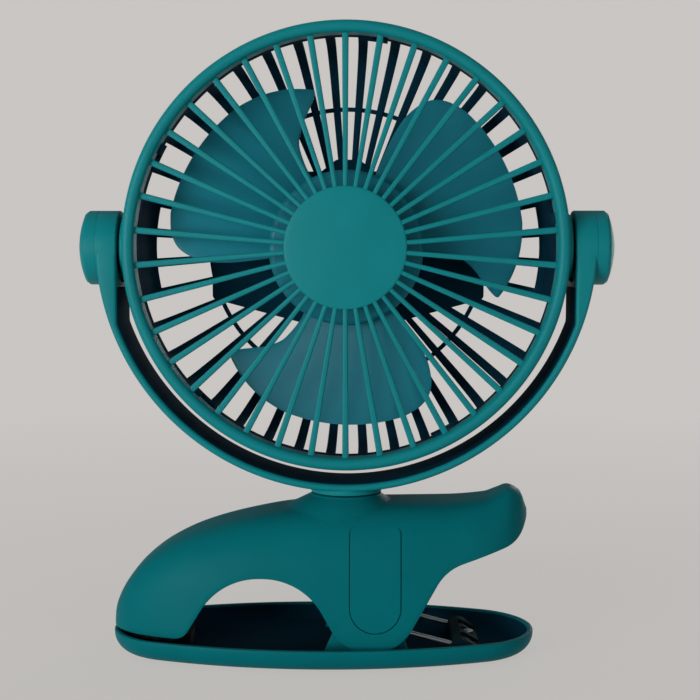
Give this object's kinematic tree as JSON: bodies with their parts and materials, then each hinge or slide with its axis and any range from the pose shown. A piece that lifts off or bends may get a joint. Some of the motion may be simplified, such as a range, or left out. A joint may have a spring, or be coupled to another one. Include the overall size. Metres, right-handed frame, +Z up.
{
  "type": "clip fan",
  "caption": "Clip-on desk fan: a sprung clamp base carries a swivelling fork, which holds a tilting round head with blades behind a spoked guard.",
  "frame": {"origin": "on the table, under the axis that the fork swivels about, at the underside of the feet", "axes": "+Z up, -Y to the front where the air comes out, +X to the right seen from the front, which is the lever's end of the clamp"},
  "size_m": [0.1732, 0.062, 0.2037],
  "materials": {
    "bright_teal": "satin moulded plastic, bright teal",
    "deep_teal": "satin moulded plastic, deep teal",
    "blade_blue": "smooth moulded plastic, grey blue",
    "dark_navy": "matte moulded plastic, dark navy teal",
    "rubber": "matte black rubber",
    "steel": "bright zinc plated steel",
    "bronze": "sintered bronze",
    "iron": "dark iron and ferrite",
    "board_green": "solder mask green",
    "cell_film": "silver pouch film",
    "nylon": "plain nylon",
    "lens": "clear moulded plastic",
    "lead_cover": "soft cable cover"
  },
  "bodies": {
    "tray": {"base_tray": "deep_teal", "foot_pads": "rubber", "tray_grip_pad": "rubber", "hinge_pin": "steel", "torsion_spring": "steel", "spring_anchor": "nylon", "anchor_screw": "steel"},
    "upper_jaw": {"jaw_shell": "deep_teal", "jaw_floor": "deep_teal", "floor_screws": "steel", "nose_grip_pad": "rubber", "side_cover_front": "deep_teal", "side_cover_rear": "deep_teal", "battery_cell": "cell_film", "circuit_board": "board_green", "board_screws": "steel", "indicator_lens": "lens", "usb_socket": "steel", "swivel_washer_upper": "nylon"},
    "button": {"power_button": "deep_teal"},
    "fork": {"fork_arm": "bright_teal", "swivel_washer_lower": "nylon", "swivel_clip": "steel", "tilt_cap_left": "bright_teal", "tilt_cap_right": "bright_teal", "friction_washer_left": "nylon", "friction_washer_right": "nylon"},
    "head": {"rear_grille": "dark_navy", "pivot_keeper_left": "steel", "pivot_keeper_right": "steel", "pivot_screw_left": "steel", "pivot_screw_right": "steel", "motor_can": "steel", "motor_bush_front": "bronze", "motor_bush_rear": "bronze", "motor_magnets": "iron", "motor_screws": "steel", "motor_cover": "dark_navy", "cover_screws": "steel", "motor_lead": "lead_cover"},
    "guard": {"front_grille": "bright_teal"},
    "rotor": {"blade_rotor": "blade_blue", "motor_shaft": "steel", "armature": "iron", "hub_nut": "nylon"}
  },
  "joints": [
    {"name": "clip_hinge", "type": "hinge", "parent": "tray", "child": "upper_jaw", "pos_m": [0.0084, 0, 0.0197], "axis": [0, 1, 0], "range_deg": [0, 26], "stiffness_Nm_per_rad": 1, "springref_deg": -28.65, "deforming": ["torsion_spring"]},
    {"name": "button_press", "type": "slide", "parent": "upper_jaw", "child": "button", "axis": [0, -1, 0], "range_m": [0, 0.0008], "stiffness_N_per_m": 900, "springref_m": -0.0006},
    {"name": "fork_swivel", "type": "hinge", "parent": "upper_jaw", "child": "fork", "pos_m": [0, 0, 0.053], "axis": [0, 0, 1], "range_deg": [-180, 180]},
    {"name": "head_tilt", "type": "hinge", "parent": "fork", "child": "head", "pos_m": [0, 0, 0.1327], "axis": [1, 0, 0], "range_deg": [-180, 180]},
    {"name": "guard_twist", "type": "hinge", "parent": "head", "child": "guard", "pos_m": [0, 0, 0.1327], "axis": [0, 1, 0], "range_deg": [0, 8]},
    {"name": "blade_spin", "type": "hinge", "parent": "head", "child": "rotor", "pos_m": [0, 0, 0.1327], "axis": [0, 1, 0], "continuous": true}
  ]
}
